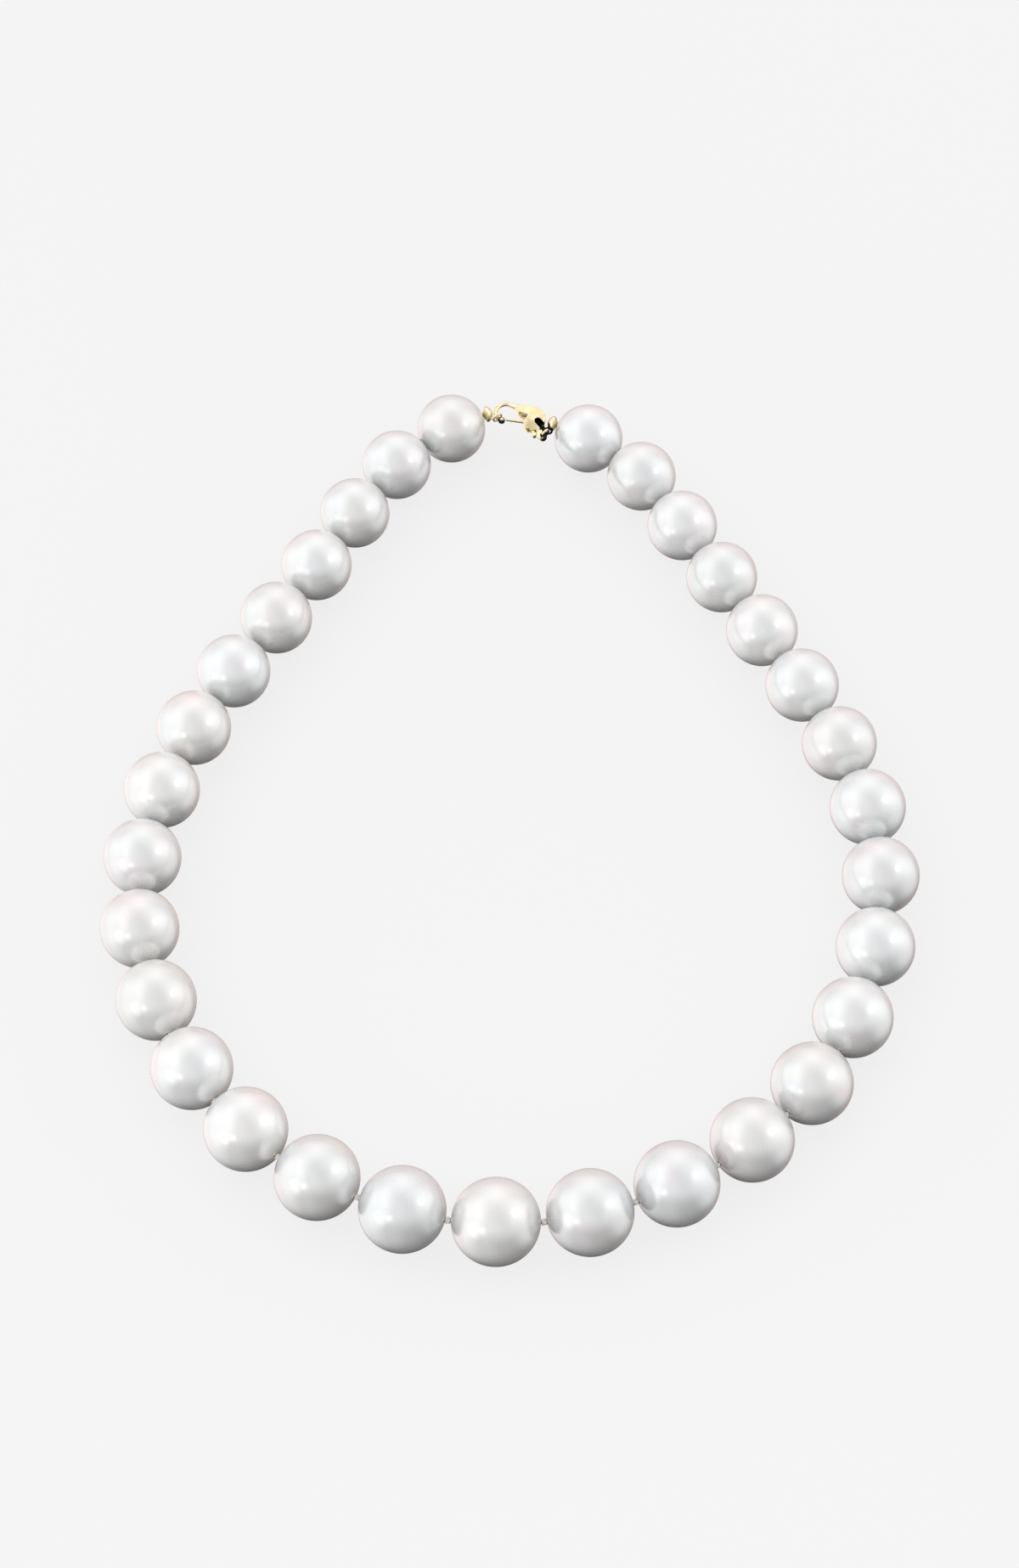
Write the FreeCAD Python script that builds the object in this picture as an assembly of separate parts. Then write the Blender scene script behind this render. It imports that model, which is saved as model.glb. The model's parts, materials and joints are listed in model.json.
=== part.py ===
import FreeCAD, Part
import math
import os

# Graduated pearl strand with a lobster-claw clasp. Millimetres, +Z up, lying on z = 0.
# +Y runs from the front of the strand to the clasp, +X to the strand's right.
# The two halves hold the same pearls and lie on slightly different lines.

V = FreeCAD.Vector
UP = V(0, 0, 1)

# ---------------------------------------------------------------- driving dimensions
ROWS = 15                    # pearls on each side of the centre pearl
CENTRE_PEARL_D = 14.4        # the largest pearl, at the front
END_PEARL_D = 12.1           # the pearls next to the clasp
GRADUATION = 1.4             # above 1, most of the size change is at the front
FRONT_GAP = 1.0              # clear distance between two pearls at the front
BACK_GAP = 0.42              # and towards the clasp
GAP_GRADUATION = 3.0         # above 1, most of that change is at the front
CLASP_GAP = 0.6              # twice the distance from an end pearl to its bead tip
DRILL_R = 0.45               # hole through each pearl
SILK_R = 0.33                # doubled silk inside the holes
SILK_BEND_R = 0.37           # silk bunched where it turns into a bead tip
KNOT_R = 0.46                # knot between two pearls
SILK_END_CLEAR = 0.07        # from a cut silk end to the next knot
END_KNOT_R = 0.42            # knot hidden in each bead tip
END_KNOT_DEPTH = 0.8         # from a bead tip's mouth to its knot

# Each half of the strand's line, front to clasp, outwards and back. Both are scaled to the pearls.
RIGHT_LINE = [
    (0.0, 0.0), (21.1, 4.4), (34.0, 11.0), (45.1, 20.1), (53.5, 31.2), (58.9, 44.0), (61.8, 57.7),
    (61.5, 71.5), (58.0, 84.6), (45.6, 107.5), (31.6, 129.1), (24.6, 139.8), (17.0, 149.5),
    (6.1, 154.9), (0.0, 156.4),
]
LEFT_LINE = [
    (0.0, 0.0), (22.4, 4.4), (35.0, 11.0), (45.4, 20.3), (53.4, 31.7), (58.7, 44.3), (60.9, 57.5),
    (60.1, 70.9), (51.3, 95.6), (38.1, 117.6), (25.7, 140.1), (18.0, 150.1), (7.1, 156.3), (0.0, 158.4),
]
RIGHT_MOUTH_X = 6.1          # from the middle of the front pearl to the right bead tip's mouth
LEFT_MOUTH_X = 7.1
CLASP_OFFSET = (0.5, 0.7)    # from half way between the mouths to the middle of the clasp
SEARCH_SPAN = 0.15           # share of the half line searched for the next knot

# Bead tips: domed caps with a hole towards the pearl and a loop towards the clasp
TIP_TURN = 0.5               # share of the end pearl's slant that each bead tip follows
TIP_MOUTH_R = 0.6            # flat rim around the hole, against the pearl
TIP_DOME = [                 # radius and distance from the mouth, rim to crown
    (1.32, 0.45), (1.4, 0.68), (1.25, 1.06), (0.75, 1.5), (0.0, 1.75),
]
TIP_HOLE_R = 0.46
TIP_CAVITY_R = 0.75
LOOP_WIRE_R = 0.2
LEFT_LOOP_R = 0.8            # centre line of the loop that the claw hooks through
RIGHT_LOOP_R = 0.62          # centre line of the loop that holds the jump ring
NECK_FROM = (-5.9, -0.35)    # short neck that joins the left loop to its cap
NECK_TO = (-5.2, -0.76)

# Claw, in plan, from the middle of the clasp
HOOK_CENTRE = (-3.0, 0.75)
HOOK_R = 1.87                # centre line of the hook's round end
HOOK_WIRE_R = 0.36
HOOK_FROM = 75.0             # degrees, where the straight arm meets the round end
HOOK_LOOP_AT = 215.0         # where the left loop hangs on it
HOOK_TO = 246.0              # where the ball is
HOOK_BALL_R = 0.62
ARM_BASE = (0.5, 1.35)
ARM_BASE_R = 0.72
BODY_BACK = [                # outline of the body, from the arm round to the gate's knob
    (-1.7, 2.3), (-0.45, 2.02), (1.2, 1.75), (3.0, 1.15), (3.85, 0.5), (4.05, -0.4), (3.85, -1.6),
    (4.1, -3.2), (4.4, -4.3), (3.9, -5.0), (2.8, -4.55), (1.75, -3.65), (0.9, -3.0), (0.45, -2.3),
]
BODY_FRONT = [(0.45, -2.3), (0.1, -1.8), (1.0, -0.2), (-0.5, 0.45)]
WEB_MIDDLE = (-1.15, 1.2)    # the curved web from there under the arm
BODY_THICK = 2.4
BODY_DOME_R = 8.0            # radius of its two broad faces
TAIL_THICK = 0.8             # flat rim, where the domed faces would meet
BODY_MIDDLE = (1.2, -0.2)
WINDOW_FROM = (2.75, -1.45)  # open slot between the body's two bars
WINDOW_TO = (5.3, -3.9)
WINDOW_R = 0.66
LOOP_ROOM = 1.0              # radius kept clear for the right bead tip's loop
TAIL_HOLE = (3.5, -4.15)     # hole in the lower bar for the jump ring
TAIL_HOLE_R = 0.36
RIGHT_LOOP_AT = (4.6, -2.95)     # middle of the right bead tip's loop

# Gate: a lever on a pin in the claw's slot
PIVOT = (1.15, -1.15)
PIN_R = 0.3
PIN_CLEAR = 0.05
GATE_OPEN = 28.0             # degrees, fully pressed
GATE_TIP = (-2.88, -0.58)
GATE_HALF = 0.22
GATE_THICK = 0.9
HUB_R = 0.68
HUB_THICK = 0.5
SLOT_THICK = 1.1
SLOT_CLEAR = 0.1
SLOT_FROM = (-0.7, -3.7)     # corners of the slot ahead of the pivot
SLOT_TO = (1.15, 0.8)
NOTCH_AT = (1.1, -3.35)      # dent in the claw's edge ahead of the knob
NOTCH_R = 0.42
KNOB_AT = (2.1, -3.95)
KNOB_R = 0.42
SPRING_WIRE_R = 0.08
SPRING_R = 0.5
SPRING_PITCH = 0.2
SPRING_HEIGHT = 0.26
SPRING_CLEAR = 0.03          # below its lowest turn


# ---------------------------------------------------------------- strand layout
def pearl_diameter(row):
    """Diameter of the pearl that many places from the centre pearl."""
    share = 1.0 - row / ROWS
    return END_PEARL_D + (CENTRE_PEARL_D - END_PEARL_D) * share ** GRADUATION


def chord(row):
    """Distance between the knots on either side of that pearl."""
    if row == ROWS:
        return pearl_diameter(row) + CLASP_GAP
    gap = BACK_GAP + (FRONT_GAP - BACK_GAP) * (1.0 - row / ROWS) ** GAP_GRADUATION
    return pearl_diameter(row) + gap


def half_curve(outline, scale):
    """Smooth line of one half of the strand."""
    line = Part.BSplineCurve()
    line.interpolate([V(x * scale, y * scale, 0) for x, y in outline])
    return line


def next_knot(line, u, distance):
    """Parameter of the point on the line at that straight distance beyond the one at u."""
    start = line.value(u)
    low = u
    high = min(u + SEARCH_SPAN * line.LastParameter, line.LastParameter)
    for _ in range(50):
        middle = 0.5 * (low + high)
        if (line.value(middle) - start).Length < distance:
            low = middle
        else:
            high = middle
    return low


def knots_in_plan(outline, scale):
    """Knots of one half, front to clasp, with its line at that scale."""
    line = half_curve(outline, scale)
    half_chord = 0.5 * chord(0)
    low, high = 0.0, SEARCH_SPAN * line.LastParameter
    for _ in range(50):
        middle = 0.5 * (low + high)
        if line.value(middle).x < half_chord:
            low = middle
        else:
            high = middle
    u = low
    knots = [line.value(u)]
    for row in range(1, ROWS + 1):
        u = next_knot(line, u, chord(row))
        knots.append(line.value(u))
    return knots


def half_scale(outline, mouth_x):
    """Scale at which that half's last knot comes to the bead tip's mouth."""
    low, high = 0.9, 1.1
    for _ in range(40):
        middle = 0.5 * (low + high)
        if knots_in_plan(outline, middle)[-1].x < mouth_x:
            low = middle
        else:
            high = middle
    return 0.5 * (low + high)


def knot_heights():
    """Heights of the knots, front to clasp: every pearl clears or touches z = 0."""
    radii = [0.5 * pearl_diameter(row) for row in range(ROWS + 1)]
    between = [0.5 * (a + b) for a, b in zip(radii[1:], radii[2:])]
    heights = [radii[0]] + between + [radii[-1]]
    middles = [heights[0]] + [0.5 * (a + b) for a, b in zip(heights, heights[1:])]
    lift = max(r - z for r, z in zip(radii, middles))
    return [z + lift for z in heights]


def half_knots(outline, mouth_x, side):
    """Knots of one half in space, clasp to front. Side is 1 for the right half and -1 for the left."""
    plan = knots_in_plan(outline, half_scale(outline, mouth_x))
    return [V(side * p.x, p.y, z) for p, z in zip(plan, knot_heights())][::-1]


def pearl_reach(knots):
    """How far the pearls of one half reach to the side."""
    middles = [0.5 * (a.x + b.x) for a, b in zip(knots, knots[1:])]
    radii = [0.5 * pearl_diameter(ROWS - place) for place in range(ROWS)]
    return max(abs(x) + r for x, r in zip(middles, radii))


# LEFT[0] and RIGHT[0] are at the clasp, LEFT[ROWS] and RIGHT[ROWS] beside the centre pearl.
RIGHT = half_knots(RIGHT_LINE, RIGHT_MOUTH_X, 1)
LEFT = half_knots(LEFT_LINE, LEFT_MOUTH_X, -1)
CLASP = (LEFT[0] + RIGHT[0]) * 0.5 + V(*CLASP_OFFSET, 0)
FRONT_EDGE = 0.5 * (LEFT[ROWS].y + RIGHT[ROWS].y) - 0.5 * CENTRE_PEARL_D
BACK_EDGE = CLASP.y + HOOK_CENTRE[1] + HOOK_R + HOOK_WIRE_R
SHIFT = V(0.5 * (pearl_reach(LEFT) - pearl_reach(RIGHT)), -0.5 * (FRONT_EDGE + BACK_EDGE), 0)
RIGHT = [knot + SHIFT for knot in RIGHT]
LEFT = [knot + SHIFT for knot in LEFT]
CLASP = CLASP + SHIFT


def at_clasp(plan, height=0.0):
    """A point given in plan from the middle of the clasp."""
    return CLASP + V(plan[0], plan[1], height)


# ---------------------------------------------------------------- helpers
def save(shape, node):
    if shape.ShapeType == "Compound" and len(shape.Solids) == 1:
        shape = shape.Solids[0]
    shape.exportStep(os.path.join("parts", node + ".step"))


def rod(start, end, radius):
    return Part.makeCylinder(radius, (end - start).Length, start, end - start)


def bar(start, end, half_width, low, high):
    """Flat bar with round ends, seen in plan, between two heights."""
    side = (end - start).cross(UP).normalize() * half_width
    tall = V(0, 0, high - low)
    floor = V(0, 0, low)
    outline = [start + side, end + side, end - side, start - side, start + side]
    web = Part.Face(Part.makePolygon([p + floor for p in outline])).extrude(tall)
    ends = [Part.makeCylinder(half_width, tall.z, p + floor) for p in (start, end)]
    return web.fuse(ends).removeSplitter()


# ---------------------------------------------------------------- pearls and silk
def pearl(outer_knot, inner_knot, diameter):
    """One drilled pearl, half way between two knots."""
    middle = (outer_knot + inner_knot) * 0.5
    line = (inner_knot - outer_knot).normalize()
    ball = Part.makeSphere(0.5 * diameter, middle, line)
    reach = line * diameter
    return ball.cut(rod(middle - reach, middle + reach, DRILL_R))


def silk_run(knot, next_knot_at):
    """A knot and the silk from it through one pearl, cut just short of the next knot."""
    line = (next_knot_at - knot).normalize()
    end = next_knot_at - line * (KNOT_R + SILK_END_CLEAR)
    return Part.makeSphere(KNOT_R, knot, line).fuse(rod(knot, end, SILK_R))


def first_silk_run(mouth, next_knot_at, tip_line):
    """The run at the clasp: its knot lies inside the bead tip, past the mouth."""
    line = (next_knot_at - mouth).normalize()
    end = next_knot_at - line * (KNOT_R + SILK_END_CLEAR)
    hidden = mouth + tip_line * END_KNOT_DEPTH
    silk = Part.makeSphere(END_KNOT_R, hidden, tip_line).fuse(rod(hidden, mouth, SILK_R))
    return silk.fuse([Part.makeSphere(SILK_BEND_R, mouth, line), rod(mouth, end, SILK_R)])


def make_pearls():
    """pearl_01 is left of the clasp, pearl_16 the centre one, pearl_31 right of the clasp."""
    for place in range(1, ROWS + 1):
        diameter = pearl_diameter(ROWS + 1 - place)
        save(pearl(LEFT[place - 1], LEFT[place], diameter), f"pearl_{place:02d}")
        save(pearl(RIGHT[place - 1], RIGHT[place], diameter), f"pearl_{2 * ROWS + 2 - place:02d}")
    save(pearl(LEFT[ROWS], RIGHT[ROWS], pearl_diameter(0)), f"pearl_{ROWS + 1:02d}")


def make_silk():
    """Each row's node holds its left and right runs; the centre run closes the front."""
    runs = [first_silk_run(side[0], side[1], inwards(side)) for side in (LEFT, RIGHT)]
    save(Part.makeCompound(runs), "silk_row_01")
    for row in range(2, ROWS + 1):
        runs = [silk_run(side[row - 1], side[row]) for side in (LEFT, RIGHT)]
        save(Part.makeCompound(runs), f"silk_row_{row:02d}")
    line = (RIGHT[ROWS] - LEFT[ROWS]).normalize()
    ends = [Part.makeSphere(KNOT_R, side[ROWS], line) for side in (LEFT, RIGHT)]
    save(rod(LEFT[ROWS], RIGHT[ROWS], SILK_R).fuse(ends), "silk_centre")


# ---------------------------------------------------------------- bead tips
def inwards(side):
    """Direction of a bead tip from its mouth: part way from the end pearl's bore to straight across."""
    bore = (side[0] - side[1]).normalize()
    across = V(-1 if side[0].x > CLASP.x else 1, 0, 0)
    return (bore * TIP_TURN + across * (1.0 - TIP_TURN)).normalize()


def tip_cap(side):
    """Domed cap on the end of one half, open to the pearl by a small hole."""
    dome = [V(r, 0, s) for r, s in TIP_DOME]
    turned = Part.BSplineCurve()
    turned.interpolate(dome)
    closing = Part.makePolygon([dome[-1], V(0, 0, 0), V(TIP_MOUTH_R, 0, 0), dome[0]])
    profile = Part.Face(Part.Wire([turned.toShape()] + closing.Edges))
    cap = profile.revolve(V(0, 0, 0), UP, 360)
    cavity = Part.makeSphere(TIP_CAVITY_R, V(0, 0, END_KNOT_DEPTH))
    hole = Part.makeCylinder(TIP_HOLE_R, 2 * END_KNOT_DEPTH, V(0, 0, -END_KNOT_DEPTH))
    cap = cap.cut(cavity.fuse(hole))
    cap.Placement = FreeCAD.Placement(side[0], FreeCAD.Rotation(UP, inwards(side)))
    return cap


def hook_point(angle):
    """A point on the centre line of the hook's round end."""
    x = HOOK_CENTRE[0] + HOOK_R * math.cos(math.radians(angle))
    y = HOOK_CENTRE[1] + HOOK_R * math.sin(math.radians(angle))
    return at_clasp((x, y))


def hook_direction(angle):
    return V(-math.sin(math.radians(angle)), math.cos(math.radians(angle)), 0)


def make_bead_tips():
    left = tip_cap(LEFT)
    loop = Part.makeTorus(LEFT_LOOP_R, LOOP_WIRE_R, hook_point(HOOK_LOOP_AT), hook_direction(HOOK_LOOP_AT))
    neck = rod(at_clasp(NECK_FROM), at_clasp(NECK_TO), LOOP_WIRE_R)
    save(left.fuse([loop, neck]), "left_bead_tip")
    right = tip_cap(RIGHT)
    loop = Part.makeTorus(RIGHT_LOOP_R, LOOP_WIRE_R, at_clasp(RIGHT_LOOP_AT))
    save(right.fuse(loop), "right_bead_tip")


# ---------------------------------------------------------------- clasp
def body_lens():
    """The domed space between the claw's two broad faces."""
    drop = BODY_DOME_R - 0.5 * BODY_THICK
    above = Part.makeSphere(BODY_DOME_R, at_clasp(BODY_MIDDLE, -drop))
    below = Part.makeSphere(BODY_DOME_R, at_clasp(BODY_MIDDLE, drop))
    return above.common(below)


def claw_plate():
    """Domed plate of the claw's body, cut to its outline."""
    curve = Part.BSplineCurve()
    curve.interpolate([V(x, y, 0) for x, y in BODY_BACK])
    steps = Part.makePolygon([V(x, y, 0) for x, y in BODY_FRONT])
    web = Part.Arc(V(*BODY_FRONT[-1], 0), V(*WEB_MIDDLE, 0), V(*BODY_BACK[0], 0)).toShape()
    face = Part.Face(Part.Wire([curve.toShape()] + steps.Edges + [web]))
    face.translate(CLASP + V(0, 0, -BODY_THICK))
    block = face.extrude(V(0, 0, 2 * BODY_THICK))
    rim = face.extrude(V(0, 0, TAIL_THICK))
    rim.translate(V(0, 0, BODY_THICK - 0.5 * TAIL_THICK))
    return block.common(body_lens()).fuse(rim)


def claw_arm():
    """Tapered arm, round hook and the ball at its end."""
    start = hook_point(HOOK_FROM)
    middle = hook_point(0.5 * (HOOK_FROM + HOOK_TO))
    end = hook_point(HOOK_TO)
    path = Part.Wire([Part.Arc(start, middle, end).toShape()])
    section = Part.Wire([Part.Circle(start, hook_direction(HOOK_FROM), HOOK_WIRE_R).toShape()])
    bend = path.makePipeShell([section], True, False)
    base = at_clasp(ARM_BASE)
    length = (start - base).Length
    taper = Part.makeCone(ARM_BASE_R, HOOK_WIRE_R, length, base, start - base)
    ball = Part.makeSphere(HOOK_BALL_R, end)
    joint = Part.makeSphere(HOOK_WIRE_R, start)
    return taper.fuse([joint, bend, ball])


def make_claw():
    cheek = 0.5 * SLOT_THICK
    window = bar(at_clasp(WINDOW_FROM), at_clasp(WINDOW_TO), WINDOW_R, -BODY_THICK, BODY_THICK)
    pin_hole = Part.makeCylinder(PIN_R, 2 * BODY_THICK, at_clasp(PIVOT, -BODY_THICK))
    finger_notch = Part.makeCylinder(NOTCH_R, 2 * BODY_THICK, at_clasp(NOTCH_AT, -BODY_THICK))
    hub_slot = Part.makeCylinder(HUB_R + SLOT_CLEAR, SLOT_THICK, at_clasp(PIVOT, -cheek))
    width, depth = SLOT_TO[0] - SLOT_FROM[0], SLOT_TO[1] - SLOT_FROM[1]
    front_slot = Part.makeBox(width, depth, SLOT_THICK, at_clasp(SLOT_FROM, -cheek))
    loop_room = Part.makeCylinder(LOOP_ROOM, 2 * BODY_THICK, at_clasp(RIGHT_LOOP_AT, -BODY_THICK))
    tail_hole = Part.makeCylinder(TAIL_HOLE_R, 2 * BODY_THICK, at_clasp(TAIL_HOLE, -BODY_THICK))
    cuts = [window, loop_room, tail_hole, pin_hole, finger_notch, hub_slot, front_slot]
    for share in (0.0, 0.5, 1.0):
        finger = bar(at_clasp(PIVOT), at_clasp(KNOB_AT), KNOB_R + SLOT_CLEAR, -cheek, cheek)
        finger.rotate(at_clasp(PIVOT), UP, -GATE_OPEN * share)
        cuts.append(finger)
    save(claw_plate().fuse(claw_arm()).cut(cuts), "claw_body")


def make_gate():
    pivot = at_clasp(PIVOT)
    half = 0.5 * GATE_THICK
    arm = bar(pivot, at_clasp(GATE_TIP), GATE_HALF, -half, HUB_THICK - half)
    hub = Part.makeCylinder(HUB_R, HUB_THICK, pivot - V(0, 0, half))
    finger = bar(pivot, at_clasp(KNOB_AT), GATE_HALF, -half, half)
    knob = Part.makeCylinder(KNOB_R, GATE_THICK, at_clasp(KNOB_AT, -half))
    spring_room = Part.makeCylinder(HUB_R, GATE_THICK, pivot + V(0, 0, HUB_THICK - half))
    bore = Part.makeCylinder(PIN_R + PIN_CLEAR, 2 * GATE_THICK, pivot - V(0, 0, GATE_THICK))
    lever = arm.fuse([hub, finger, knob]).cut([spring_room, bore]).removeSplitter()
    save(lever, "gate_lever")

    pin = Part.makeCylinder(PIN_R, 2 * BODY_THICK, pivot - V(0, 0, BODY_THICK))
    save(pin.common(body_lens()), "gate_pin")

    helix = Part.makeHelix(SPRING_PITCH, SPRING_HEIGHT, SPRING_R)
    section = Part.Wire([Part.Circle(V(SPRING_R, 0, 0), V(0, 1, 0), SPRING_WIRE_R).toShape()])
    coil = Part.Wire(helix).makePipeShell([section], True, True)
    coil.translate(pivot + V(0, 0, HUB_THICK - half + SPRING_WIRE_R + SPRING_CLEAR))
    save(coil, "gate_spring")


def make_jump_ring():
    inner = at_clasp(TAIL_HOLE)
    outer = at_clasp(RIGHT_LOOP_AT)
    normal = (outer - inner).cross(UP)
    ring = Part.makeTorus(0.5 * (outer - inner).Length, LOOP_WIRE_R, (inner + outer) * 0.5, normal)
    save(ring, "jump_ring")


os.makedirs("parts", exist_ok=True)
make_pearls()
make_silk()
make_bead_tips()
make_claw()
make_gate()
make_jump_ring()
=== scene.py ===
import json
import math
import random

import bmesh
import bpy
from mathutils import Matrix, Vector


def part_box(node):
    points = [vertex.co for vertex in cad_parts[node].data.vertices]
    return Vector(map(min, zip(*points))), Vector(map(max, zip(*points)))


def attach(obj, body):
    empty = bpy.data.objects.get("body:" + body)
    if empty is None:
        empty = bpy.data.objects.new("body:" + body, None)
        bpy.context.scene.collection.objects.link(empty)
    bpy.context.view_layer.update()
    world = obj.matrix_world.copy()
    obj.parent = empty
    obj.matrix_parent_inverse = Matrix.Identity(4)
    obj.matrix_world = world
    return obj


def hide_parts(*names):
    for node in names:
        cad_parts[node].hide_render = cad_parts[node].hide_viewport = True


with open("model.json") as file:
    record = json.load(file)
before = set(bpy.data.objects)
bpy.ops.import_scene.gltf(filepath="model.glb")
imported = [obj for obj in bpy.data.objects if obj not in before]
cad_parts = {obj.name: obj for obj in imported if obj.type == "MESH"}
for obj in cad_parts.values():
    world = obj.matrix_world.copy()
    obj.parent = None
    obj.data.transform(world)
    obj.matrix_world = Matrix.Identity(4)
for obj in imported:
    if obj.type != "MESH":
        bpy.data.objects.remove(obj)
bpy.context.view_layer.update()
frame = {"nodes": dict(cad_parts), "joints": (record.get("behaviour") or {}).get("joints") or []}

MM = 0.001
PEARLS = 31
ROWS = 15                        # pairs of knots, left and right, that fold together
FRONT_PEARL = ROWS + 1
JOINTS = {joint["name"]: joint for joint in frame["joints"]}
UP = Vector((0, 0, 1))

# Pearls: drilled, their bore's edge rounded, a little off round
NACRE_SEED = 100
SHAPE_SEED = 500
DRILL_R = 0.45 * MM
DRILL_EDGE = 0.12 * MM
EDGE_STEPS = 4
PEARL_RINGS = 46
PEARL_SIDES = 72
FLATTENINGS = 2                  # directions in which a pearl is a little flattened
OFF_ROUND = 0.007

# Silk: a doubled thread of two twisted plies, knotted between the pearls
PLY_R = 0.165 * MM
PLY_OFFSET = 0.15 * MM
PLY_PITCH = 1.7 * MM
PLY_STEP = 0.2 * MM
PLY_SIDES = 7
KNOT_LOOP = 0.088 * MM           # a third of the reach of the knot's loops
KNOT_HALF_LENGTH = 0.17 * MM
KNOT_PLY_R = 0.185 * MM
KNOT_STEPS = 48
KNOT_GROWTH = 0.35 / (0.45 * MM)   # a knot is 35% larger where its gap is 0.45 mm wider
TIGHT_GAP = 0.42 * MM
END_REACH = 0.3 * MM             # from an end pearl to its bead tip
TIP_TURN = 0.5                   # share of the end pearl's slant that a bead tip follows
END_KNOT_DEPTH = 0.8 * MM

# Clasp, in millimetres from its middle in plan
PIVOT = (1.15, -1.15, 0)
CLASP = Vector(JOINTS["gate_press"]["pos_m"]) / MM - Vector(PIVOT)
RECESS = ((2.75, -1.45), (3.25, -1.95))      # line of the closed end of the body's slot
RECESS_R = 0.8
RECESS_FLOOR = (-1.05, -0.6)     # its floor's underside and top, from the clasp's middle height
ROUND_STEPS = 16                 # sides of a half circle
CAST_VOXEL = 0.06
CAST_ROUNDS = 5                  # rounds of smoothing after the remesh
PAINTED_SHADE = [                         # middle and reach of the places with painted shade and painted dark reflection
    ((2.7, -1.3), 1.15), ((3.4, -2.2), 1.1), ((4.5, -3.1), 1.25), ((4.0, -4.4), 1.0), ((1.1, -3.2), 0.6),
    ((-3.76, -0.96), 0.8),
]
PAINTED_SHADE_TOP = 0.62                  # painted shade only below this height, so the broad face above stays bright as if lit
PAINTED_SHADE_EDGE = 0.15                 # height over which it fades
PAINTED_SHADE_CORE = 0.8                  # share of a painted shade place's reach that is fully dark

# Camera, from the middle of the front pearl
CAMERA_OFFSET = Vector((10.3, -281.3, 618.4)) * MM
CAMERA_DOWN = math.radians(59.64)
CAMERA_TURN = math.radians(1.657)
CAMERA_LENS = 97.5
SENSOR = 36.0

# Studio. Azimuth 0 is +X and 90 is +Y
WHITE = (1.0, 1.0, 1.0)
WARM = (1.0, 0.97, 0.95)
PINK = (1.0, 0.84, 0.80)
ROOM = [                         # azimuth, elevation, core, edge (all in degrees), brightness, tint
    (0, 90, 40, 90, 0.80, WHITE),
    (0, 6, 20, 60, 0.60, WHITE),
    (20, 5, 5, 35, 0.18, WHITE),
    (45, 27, 20, 60, 0.37, WHITE),
    (90, 5, 20, 60, 0.22, PINK),
    (135, 27, 20, 60, 0.40, WHITE),
    (180, 15, 20, 60, 0.44, WHITE),
    (225, 50, 10, 40, 0.18, WHITE),
    (270, 6, 20, 60, 0.18, WARM),
    (180, -22, 20, 60, 0.70, WHITE),
    (225, -15, 20, 60, 0.35, WHITE),
    (90, -22, 20, 60, 0.56, PINK),
    (0, -10, 10, 45, 0.42, WARM),
    (150, -50, 5, 35, 0.55, PINK),
    (30, -50, 5, 35, 0.30, PINK),
    (270, -20, 20, 50, 0.09, PINK),
]
SOFTBOXES = [                    # name, azimuth, elevation, radius in degrees, brightness
    ("upper_left_softbox", 205, 40, 15, 0.16),
    ("front_left_softbox", 235, 30, 7, 1.25),
    ("left_softbox", 215, 15, 15, 0.58),
    ("low_left_softbox", 225, 8, 8, 0.29),
    ("right_softbox", 358, 42, 6, 1.9),
]
SOFTBOX_DISTANCE = 0.9
BACKDROP = (0.90, 0.90, 0.90, 1.0)
FLOOR_REACH = 40.0
FLOOR_GLOW = 0.77

# Noise: a seed moves the pattern by this much along each axis
SEED_STEP = (1.0, 2.3, -1.7)


# ---------------------------------------------------------------- node helpers
def new_material(name):
    material = bpy.data.materials.new(name)
    material.use_nodes = True
    nodes = material.node_tree.nodes
    nodes.clear()
    output = nodes.new("ShaderNodeOutputMaterial")
    shader = nodes.new("ShaderNodeBsdfPrincipled")
    material.node_tree.links.new(shader.outputs["BSDF"], output.inputs["Surface"])
    return material, shader


def link(material, source, target):
    material.node_tree.links.new(source, target)


def noise(material, scale, detail=2.0, seed=0.0, stretch=(1, 1, 1)):
    """Noise in the object's own coordinates. Its scale is in features per metre."""
    tree = material.node_tree
    place = tree.nodes.new("ShaderNodeTexCoord")
    mapping = tree.nodes.new("ShaderNodeMapping")
    mapping.inputs["Location"].default_value = tuple(step * seed for step in SEED_STEP)
    mapping.inputs["Scale"].default_value = stretch
    texture = tree.nodes.new("ShaderNodeTexNoise")
    texture.inputs["Scale"].default_value = scale
    texture.inputs["Detail"].default_value = detail
    tree.links.new(place.outputs["Object"], mapping.inputs["Vector"])
    tree.links.new(mapping.outputs["Vector"], texture.inputs["Vector"])
    return texture.outputs["Fac"]


def ramp(material, value, stops):
    """Colour ramp through (position, colour) stops."""
    node = material.node_tree.nodes.new("ShaderNodeValToRGB")
    elements = node.color_ramp.elements
    while len(elements) < len(stops):
        elements.new(0.5)
    for element, (position, colour) in zip(elements, stops):
        element.position = position
        element.color = (*colour, 1)
    link(material, value, node.inputs["Fac"])
    return node.outputs["Color"]


def grey_ramp(material, value, low, high, start=0.3, end=0.7):
    return ramp(material, value, [(start, (low,) * 3), (end, (high,) * 3)])


def bump(material, shader, height, strength, distance):
    node = material.node_tree.nodes.new("ShaderNodeBump")
    node.inputs["Strength"].default_value = strength
    node.inputs["Distance"].default_value = distance
    link(material, height, node.inputs["Height"])
    link(material, node.outputs["Normal"], shader.inputs["Normal"])


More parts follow.
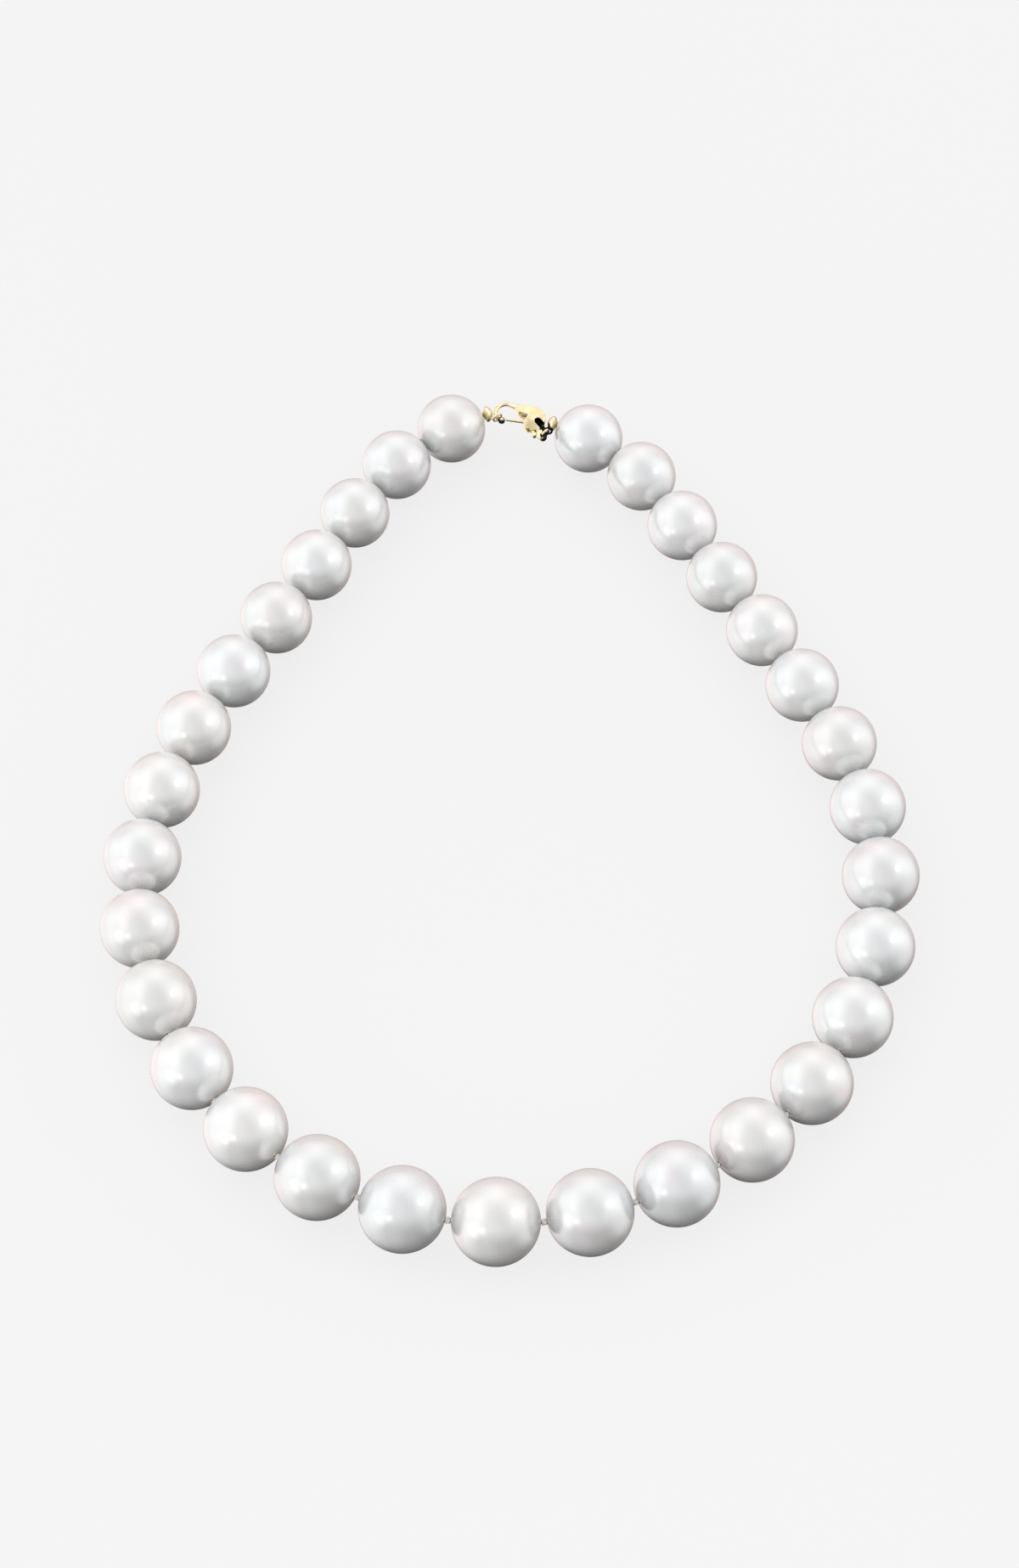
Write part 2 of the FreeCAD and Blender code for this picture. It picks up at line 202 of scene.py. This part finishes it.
# ---------------------------------------------------------------- materials
def nacre(place):
    """White nacre. Its overtone drifts slowly over each pearl and differs a little between pearls."""
    draw = random.Random(NACRE_SEED + place)
    material, shader = new_material(f"nacre_{place:02d}")
    seed = draw.uniform(0, 9)
    level = draw.uniform(0.76, 0.80)
    cream = draw.uniform(-0.01, 0.02)
    rose = tuple(level * c for c in (1.0 + cream, 0.965, 0.985 - cream))
    green = tuple(level * c for c in (0.965 + cream, 0.99, 0.985 - cream))
    silver = tuple(level * c for c in (0.965, 0.975, 1.0))
    overtone = noise(material, 130.0, detail=1.5, seed=seed)
    colour = ramp(material, overtone, [(0.3, rose), (0.5, green), (0.7, silver)])
    link(material, colour, shader.inputs["Base Color"])
    cloud = noise(material, 420.0, detail=3.0, seed=seed + 3.0)
    link(material, grey_ramp(material, cloud, 0.22, 0.28), shader.inputs["Roughness"])
    shader.inputs["Metallic"].default_value = 0.4
    shader.inputs["IOR"].default_value = 1.6
    shader.inputs["Coat Weight"].default_value = 0.45
    shader.inputs["Coat Roughness"].default_value = 0.15
    shader.inputs["Coat IOR"].default_value = 1.5
    shader.inputs["Sheen Weight"].default_value = 0.12
    shader.inputs["Sheen Roughness"].default_value = 0.35
    shader.inputs["Sheen Tint"].default_value = (1.0, 0.78, 0.76, 1.0)
    growth = noise(material, 500.0, detail=2.0, seed=seed + 5.0)
    bump(material, shader, growth, 0.06, 0.03 * MM)
    return material


def near(material, point, reach):
    """One around the point, fading to nothing at its reach, in the object's own coordinates."""
    tree = material.node_tree
    place = tree.nodes.new("ShaderNodeTexCoord")
    distance = tree.nodes.new("ShaderNodeVectorMath")
    distance.operation = "DISTANCE"
    distance.inputs[1].default_value = point
    tree.links.new(place.outputs["Object"], distance.inputs[0])
    fade = tree.nodes.new("ShaderNodeMapRange")
    fade.interpolation_type = "SMOOTHSTEP"
    fade.inputs["From Min"].default_value = reach
    fade.inputs["From Max"].default_value = PAINTED_SHADE_CORE * reach
    tree.links.new(distance.outputs["Value"], fade.inputs["Value"])
    return fade.outputs["Result"]


def below(material, height):
    """One under that height, in the object's own coordinates."""
    tree = material.node_tree
    place = tree.nodes.new("ShaderNodeTexCoord")
    split = tree.nodes.new("ShaderNodeSeparateXYZ")
    tree.links.new(place.outputs["Object"], split.inputs["Vector"])
    fade = tree.nodes.new("ShaderNodeMapRange")
    fade.inputs["From Min"].default_value = height
    fade.inputs["From Max"].default_value = height - PAINTED_SHADE_EDGE * MM
    tree.links.new(split.outputs["Z"], fade.inputs["Value"])
    return fade.outputs["Result"]


def maths(material, operation, first, second):
    """Result of a Math node on two values, kept between 0 and 1."""
    node = material.node_tree.nodes.new("ShaderNodeMath")
    node.operation = operation
    node.use_clamp = True
    link(material, first, node.inputs[0])
    link(material, second, node.inputs[1])
    return node.outputs["Value"]


def blend(material, share, first, second):
    """Colour that goes from first to second as share goes from 0 to 1."""
    node = material.node_tree.nodes.new("ShaderNodeMix")
    node.data_type = "RGBA"
    link(material, share, node.inputs["Factor"])
    link(material, first, node.inputs["A"])
    link(material, second, node.inputs["B"])
    return node.outputs["Result"]


def gold():
    """Pale cast gold, uneven from polishing by hand, with painted shade and painted dark reflection in the
    slot, at the tail, in the finger notch and on the ball.
    """
    material, shader = new_material("cast_gold")
    patches = noise(material, 650.0, detail=3.0)
    bright = ramp(material, patches, [(0.35, (0.80, 0.66, 0.36)), (0.6, (0.95, 0.85, 0.60))])
    # Noise of the painted shade: it varies its dark colour, breaks it up and sets its roughness
    shade_noise = noise(material, 1800.0, detail=2.0, seed=4.0)
    painted_shade_colour = ramp(material, shade_noise, [(0.35, (0.010, 0.010, 0.008)), (0.62, (0.035, 0.030, 0.018))])
    painted_shade_mask = None
    # Painted shade and painted dark reflection around each listed place
    for (x, y), reach in PAINTED_SHADE:
        spot = near(material, (CLASP + Vector((x, y, 0))) * MM, reach * MM)
        painted_shade_mask = spot if painted_shade_mask is None else maths(material, "MAXIMUM", painted_shade_mask, spot)
    # Painted shade stops above a height, so the top face stays bright as if lit
    painted_shade_mask = maths(material, "MULTIPLY", painted_shade_mask, below(material, (CLASP.z + PAINTED_SHADE_TOP) * MM))
    # Breaks in the painted shade, where the gold's own colour shows through
    shade_breaks = grey_ramp(material, shade_noise, 1.0, 0.0, start=0.66, end=0.74)
    painted_shade_mask = maths(material, "MULTIPLY", painted_shade_mask, shade_breaks)
    link(material, blend(material, painted_shade_mask, bright, painted_shade_colour), shader.inputs["Base Color"])
    polish = grey_ramp(material, patches, 0.16, 0.30)
    shade_roughness = grey_ramp(material, shade_noise, 0.30, 0.45)
    link(material, blend(material, painted_shade_mask, polish, shade_roughness), shader.inputs["Roughness"])
    shader.inputs["Metallic"].default_value = 1.0
    cast = noise(material, 1500.0, detail=3.0)
    bump(material, shader, cast, 0.35, 0.05 * MM)
    return material


def steel():
    """Drawn steel wire."""
    material, shader = new_material("spring_steel")
    drawn = noise(material, 3000.0, detail=3.0, stretch=(1.0, 1.0, 5.0))
    colour = ramp(material, drawn, [(0.3, (0.42, 0.42, 0.44)), (0.7, (0.58, 0.58, 0.60))])
    link(material, colour, shader.inputs["Base Color"])
    link(material, grey_ramp(material, drawn, 0.22, 0.4), shader.inputs["Roughness"])
    shader.inputs["Metallic"].default_value = 1.0
    return material


def silk():
    """Ivory silk with fine fibres."""
    material, shader = new_material("silk_thread")
    fibre = noise(material, 4200.0, detail=3.0)
    colour = ramp(material, fibre, [(0.3, (0.84, 0.79, 0.71)), (0.7, (0.95, 0.92, 0.86))])
    link(material, colour, shader.inputs["Base Color"])
    link(material, grey_ramp(material, fibre, 0.45, 0.65), shader.inputs["Roughness"])
    shader.inputs["Sheen Weight"].default_value = 0.3
    shader.inputs["Sheen Roughness"].default_value = 0.4
    bump(material, shader, fibre, 0.3, 0.03 * MM)
    return material


def cover(mesh, material):
    mesh.materials.clear()
    mesh.materials.append(material)


def stand_in(name, mesh, material, body, node):
    """Makes an object of the mesh, to be seen in place of a CAD node."""
    mesh.shade_smooth()
    cover(mesh, material)
    piece = bpy.data.objects.new(name, mesh)
    bpy.context.scene.collection.objects.link(piece)
    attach(piece, body)
    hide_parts(node)


# ---------------------------------------------------------------- pearls
def bore(place):
    """Middle, direction along the strand from left bead tip to right, and radius of a pearl."""
    joint = JOINTS[f"pearl_turn_{place:02d}"]
    low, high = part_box(f"pearl_{place:02d}")
    return Vector(joint["pos_m"]), Vector(joint["axis"]).normalized(), 0.5 * (high.z - low.z)


def pearl_profile(radius):
    """Closed outline of half a pearl's section: distance along the bore, distance from it."""
    mouth = math.asin((DRILL_R + DRILL_EDGE) / radius)
    outline = []
    for ring in range(PEARL_RINGS + 1):
        angle = mouth + (math.pi - 2.0 * mouth) * ring / PEARL_RINGS
        outline.append((-radius * math.cos(angle), radius * math.sin(angle)))
    end = radius * math.cos(mouth) - DRILL_EDGE
    turn = [0.5 * math.pi * step / EDGE_STEPS for step in range(1, EDGE_STEPS + 1)]
    outline += [(end + DRILL_EDGE * math.cos(t), DRILL_R + DRILL_EDGE * (1.0 - math.sin(t))) for t in turn]
    outline += [(-x, y) for x, y in outline[:PEARL_RINGS:-1]]
    return outline


def pearl_piece(place):
    """A drilled pearl: its profile turned about the bore, then a little flattened, bore apart."""
    draw = random.Random(SHAPE_SEED + place)
    middle_point, along, radius = bore(place)
    side = along.cross(UP).normalized()
    lift = side.cross(along)
    flats = [Vector([draw.gauss(0, 1) for _ in range(3)]).normalized() for _ in range(FLATTENINGS)]
    outline = pearl_profile(radius)
    points, faces = [], []
    for x, y in outline:
        for turn in range(PEARL_SIDES):
            angle = 2.0 * math.pi * turn / PEARL_SIDES
            point = along * x + (side * math.cos(angle) + lift * math.sin(angle)) * y
            if y > DRILL_R + DRILL_EDGE:
                outwards = point.normalized()
                flatness = sum(outwards.dot(flat) ** 2 for flat in flats) / FLATTENINGS
                point = point * (1.0 - OFF_ROUND * flatness)
            points.append(middle_point + point)
    for ring in range(len(outline)):
        here, there = ring * PEARL_SIDES, (ring + 1) % len(outline) * PEARL_SIDES
        for turn in range(PEARL_SIDES):
            beyond = (turn + 1) % PEARL_SIDES
            faces.append((here + turn, here + beyond, there + beyond, there + turn))
    name = f"pearl_nacre_{place:02d}"
    mesh = bpy.data.meshes.new(name)
    mesh.from_pydata(points, [], faces)
    stand_in(name, mesh, nacre(place), f"turning_pearl_{place:02d}", f"pearl_{place:02d}")


# ---------------------------------------------------------------- clasp
def recess_floor(mesh):
    """Adds the floor of the slot's closed end, a flat bar with round ends, to a mesh in millimetres. It
    closes the slot and carries painted shade there.
    """
    start, end = (CLASP + Vector((*point, 0)) for point in RECESS)
    along = (end - start).normalized()
    side = UP.cross(along)
    outline = []
    for middle_point, turn in ((end, -0.5), (start, 0.5)):
        for step in range(ROUND_STEPS + 1):
            angle = math.pi * (turn + step / ROUND_STEPS)
            outline.append(middle_point + (along * math.cos(angle) + side * math.sin(angle)) * RECESS_R)
    shape = bmesh.new()
    shape.from_mesh(mesh)
    low, high = ([shape.verts.new(point + UP * z) for point in outline] for z in RECESS_FLOOR)
    shape.faces.new(reversed(low))
    shape.faces.new(high)
    for index in range(len(outline)):
        after = (index + 1) % len(outline)
        shape.faces.new((low[index], low[after], high[after], high[index]))
    shape.to_mesh(mesh)
    shape.free()


def cast_copy(name, node, body, material, add=None):
    """A CAD node with its edges rounded by casting and polishing."""
    mesh = frame["nodes"][node].data.copy()
    mesh.transform(Matrix.Scale(1.0 / MM, 4))
    if add:
        add(mesh)
    sharp = bpy.data.objects.new(name + "_sharp", mesh)
    bpy.context.scene.collection.objects.link(sharp)
    remesh = sharp.modifiers.new("remesh", "REMESH")
    remesh.mode = "VOXEL"
    remesh.voxel_size = CAST_VOXEL
    smooth = sharp.modifiers.new("smooth", "SMOOTH")
    smooth.iterations = CAST_ROUNDS
    evaluated = sharp.evaluated_get(bpy.context.evaluated_depsgraph_get())
    cast = bpy.data.meshes.new_from_object(evaluated)
    bpy.data.objects.remove(sharp)
    cast.name = name
    cast.transform(Matrix.Scale(MM, 4))
    stand_in(name, cast, material, body, node)


def make_clasp():
    """Materials for the small gold parts and the spring, and cast copies of the claw and the gate."""
    cover(frame["nodes"]["gate_spring"].data, steel())
    material = gold()
    for node in ("left_bead_tip", "right_bead_tip", "gate_pin", "jump_ring"):
        cover(frame["nodes"][node].data, material)
    cast_copy("cast_claw", "claw_body", "claw", material, add=recess_floor)
    cast_copy("cast_gate", "gate_lever", "gate", material)


# ---------------------------------------------------------------- silk
def strand_knots():
    """Places of the knots from left bead tip to right, and each one's direction and gap."""
    knots = []
    place, along, radius = bore(1)
    knots.append((place - along * (radius + END_REACH), along, TIGHT_GAP))
    for number in range(2, PEARLS + 1):
        end = place + along * radius
        place, next_along, radius = bore(number)
        start = place - next_along * radius
        knots.append(((start + end) * 0.5, (along + next_along).normalized(), (start - end).length))
        along = next_along
    knots.append((place + along * (radius + END_REACH), along, TIGHT_GAP))
    return knots


class Thread:
    """Tubes gathered into one mesh."""

    def __init__(self):
        self.points = []
        self.faces = []

    def tube(self, line, radius, up, closed=False):
        """Tube along the line, a ring when closed, with flat ends when not."""
        first = len(self.points)
        count = len(line)
        for index, point in enumerate(line):
            before = line[index - 1] if closed or index else line[0]
            after = line[(index + 1) % count] if closed or index + 1 < count else line[-1]
            along = (after - before).normalized()
            side = along.cross(up).normalized()
            lift = side.cross(along)
            for turn in range(PLY_SIDES):
                angle = 2.0 * math.pi * turn / PLY_SIDES
                self.points.append(point + side * radius * math.cos(angle) + lift * radius * math.sin(angle))
        for index in range(count if closed else count - 1):
            here = first + index * PLY_SIDES
            there = first + (index + 1) % count * PLY_SIDES
            for turn in range(PLY_SIDES):
                beyond = (turn + 1) % PLY_SIDES
                self.faces.append((here + turn, there + turn, there + beyond, here + beyond))
        if not closed:
            last = first + (count - 1) * PLY_SIDES
            self.faces.append(tuple(range(first, first + PLY_SIDES)))
            self.faces.append(tuple(range(last + PLY_SIDES - 1, last - 1, -1)))

    def run(self, corners):
        """Two plies twisted around a line through the corners."""
        middles = []
        for start, end in zip(corners, corners[1:]):
            steps = max(2, round((end - start).length / PLY_STEP))
            middles += [start.lerp(end, step / steps) for step in range(steps)]
        middles.append(corners[-1])
        along = (corners[1] - corners[0]).normalized()
        side = along.cross(UP).normalized()
        lift = side.cross(along)
        for phase in (0.0, math.pi):
            line = []
            for index, point in enumerate(middles):
                angle = phase + 2.0 * math.pi * index * PLY_STEP / PLY_PITCH
                line.append(point + (side * math.cos(angle) + lift * math.sin(angle)) * PLY_OFFSET)
            self.tube(line, PLY_R, UP)

    def knot(self, place, along, gap):
        """Overhand knot drawn tight, its axis along the strand."""
        size = 1.0 + max(0.0, gap - TIGHT_GAP) * KNOT_GROWTH
        side = along.cross(UP).normalized()
        lift = side.cross(along)
        line = []
        for step in range(KNOT_STEPS):
            t = 2.0 * math.pi * step / KNOT_STEPS
            across = (math.sin(t) + 2.0 * math.sin(2.0 * t)) * KNOT_LOOP * size
            over = (math.cos(t) - 2.0 * math.cos(2.0 * t)) * KNOT_LOOP * size
            forward = -math.sin(3.0 * t) * KNOT_HALF_LENGTH * size
            line.append(place + side * across + lift * over + along * forward)
        self.tube(line, KNOT_PLY_R * size, along, closed=True)

    def piece(self, name, material, body, node):
        mesh = bpy.data.meshes.new(name)
        mesh.from_pydata(self.points, [], self.faces)
        stand_in(name, mesh, material, body, node)


def make_silk():
    """One thread piece for the left and right runs of each row, and one for the front."""
    material = silk()
    knots = strand_knots()
    last = len(knots) - 1
    for row in range(1, ROWS + 1):
        thread = Thread()
        for outer, inner, across in ((row - 1, row, 1), (last - row + 1, last - row, -1)):
            corners = [knots[inner][0], knots[outer][0]]
            if row == 1:
                mouth = corners[-1]
                slant = (corners[1] - corners[0]).normalized()
                inwards = (slant * TIP_TURN + Vector((across, 0, 0)) * (1.0 - TIP_TURN)).normalized()
                corners.append(mouth + inwards * END_KNOT_DEPTH)
                thread.knot(corners[-1], inwards, TIGHT_GAP)
            else:
                thread.knot(*knots[outer])
            thread.run(corners)
        thread.piece(f"thread_row_{row:02d}", material, f"row_{row:02d}", f"silk_row_{row:02d}")
    centre = Thread()
    centre.run([knots[ROWS][0], knots[ROWS + 1][0]])
    centre.knot(*knots[ROWS])
    centre.knot(*knots[ROWS + 1])
    centre.piece("thread_centre", material, f"row_{ROWS:02d}", "silk_centre")


# ---------------------------------------------------------------- floor, light, camera
def floor():
    """Pale floor that takes shadows and gives no light back to the pearls."""
    mesh = bpy.data.meshes.new("floor")
    corners = [(FLOOR_REACH * x, FLOOR_REACH * y, 0) for x, y in ((-1, -1), (1, -1), (1, 1), (-1, 1))]
    mesh.from_pydata(corners, [], [(0, 1, 2, 3)])
    plane = bpy.data.objects.new("floor", mesh)
    bpy.context.scene.collection.objects.link(plane)
    material, shader = new_material("pale_floor")
    grain = noise(material, 3.0, detail=1.0)
    colour = grey_ramp(material, grain, 0.12, 0.13)
    link(material, colour, shader.inputs["Base Color"])
    shader.inputs["Roughness"].default_value = 0.9
    shader.inputs["Specular IOR Level"].default_value = 0.0
    shader.inputs["Emission Color"].default_value = (1.0, 1.0, 1.0, 1.0)
    shader.inputs["Emission Strength"].default_value = FLOOR_GLOW
    mesh.materials.append(material)
    plane.visible_diffuse = False
    plane.visible_glossy = False
    plane.visible_transmission = False


def direction(azimuth, elevation):
    """Unit vector towards an azimuth and an elevation in degrees."""
    turn, rise = math.radians(azimuth), math.radians(elevation)
    return Vector((math.cos(rise) * math.cos(turn), math.cos(rise) * math.sin(turn), math.sin(rise)))


def softbox(name, azimuth, elevation, spread, level):
    """Round soft light aimed at the necklace: its radius seen from there in degrees, and its brightness."""
    light = bpy.data.lights.new(name, "AREA")
    light.shape = "DISK"
    light.size = 2.0 * SOFTBOX_DISTANCE * math.tan(math.radians(spread))
    disk_area = math.pi * (0.5 * light.size) ** 2
    light.energy = level * math.pi * disk_area
    lamp = bpy.data.objects.new(name, light)
    bpy.context.scene.collection.objects.link(lamp)
    towards = direction(azimuth, elevation)
    lamp.location = towards * SOFTBOX_DISTANCE
    lamp.rotation_euler = towards.to_track_quat("Z", "Y").to_euler()


def glow(tree, place, azimuth, elevation, core, edge, level, tint):
    """Brightness of a soft patch of the room: full within core degrees of its middle, none past edge."""
    along = tree.nodes.new("ShaderNodeVectorMath")
    along.operation = "DOT_PRODUCT"
    along.inputs[1].default_value = direction(azimuth, elevation)
    tree.links.new(place.outputs["Generated"], along.inputs[0])
    fade = tree.nodes.new("ShaderNodeMapRange")
    fade.interpolation_type = "SMOOTHSTEP"
    fade.inputs["From Min"].default_value = math.cos(math.radians(edge))
    fade.inputs["From Max"].default_value = math.cos(math.radians(core))
    tree.links.new(along.outputs["Value"], fade.inputs["Value"])
    colour = tree.nodes.new("ShaderNodeVectorMath")
    colour.operation = "SCALE"
    colour.inputs[0].default_value = [level * part for part in tint]
    tree.links.new(fade.outputs["Result"], colour.inputs["Scale"])
    return colour.outputs["Vector"]


def studio():
    """Pale room, darker below and in front, a plain backdrop for the camera alone, and the softboxes."""
    world = bpy.data.worlds.new("studio")
    bpy.context.scene.world = world
    world.use_nodes = True
    tree = world.node_tree
    tree.nodes.clear()
    place = tree.nodes.new("ShaderNodeTexCoord")
    total = None
    for patch in ROOM:
        colour = glow(tree, place, *patch)
        if total is not None:
            both = tree.nodes.new("ShaderNodeVectorMath")
            tree.links.new(total, both.inputs[0])
            tree.links.new(colour, both.inputs[1])
            colour = both.outputs["Vector"]
        total = colour
    lit = tree.nodes.new("ShaderNodeBackground")
    tree.links.new(total, lit.inputs["Color"])
    seen = tree.nodes.new("ShaderNodeBackground")
    seen.inputs["Color"].default_value = BACKDROP
    ray = tree.nodes.new("ShaderNodeLightPath")
    mix = tree.nodes.new("ShaderNodeMixShader")
    tree.links.new(ray.outputs["Is Camera Ray"], mix.inputs["Fac"])
    tree.links.new(lit.outputs["Background"], mix.inputs[1])
    tree.links.new(seen.outputs["Background"], mix.inputs[2])
    output = tree.nodes.new("ShaderNodeOutputWorld")
    tree.links.new(mix.outputs["Shader"], output.inputs["Surface"])
    for name, azimuth, elevation, spread, level in SOFTBOXES:
        softbox(name, azimuth, elevation, spread, level)


def camera():
    """Camera above and in front of the strand, looking down at it."""
    data = bpy.data.cameras.new("camera")
    data.sensor_fit = "VERTICAL"
    data.sensor_height = SENSOR
    data.lens = CAMERA_LENS
    data.clip_start = 0.01
    data.clip_end = 100.0
    eye = bpy.data.objects.new("camera", data)
    bpy.context.scene.collection.objects.link(eye)
    low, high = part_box(f"pearl_{FRONT_PEARL:02d}")
    eye.location = (low + high) * 0.5 + CAMERA_OFFSET
    eye.rotation_euler = (0.5 * math.pi - CAMERA_DOWN, 0.0, CAMERA_TURN)
    bpy.context.scene.camera = eye


bpy.context.scene.view_settings.view_transform = "Standard"
for pearl_place in range(1, PEARLS + 1):
    pearl_piece(pearl_place)
make_clasp()
make_silk()
floor()
studio()
camera()
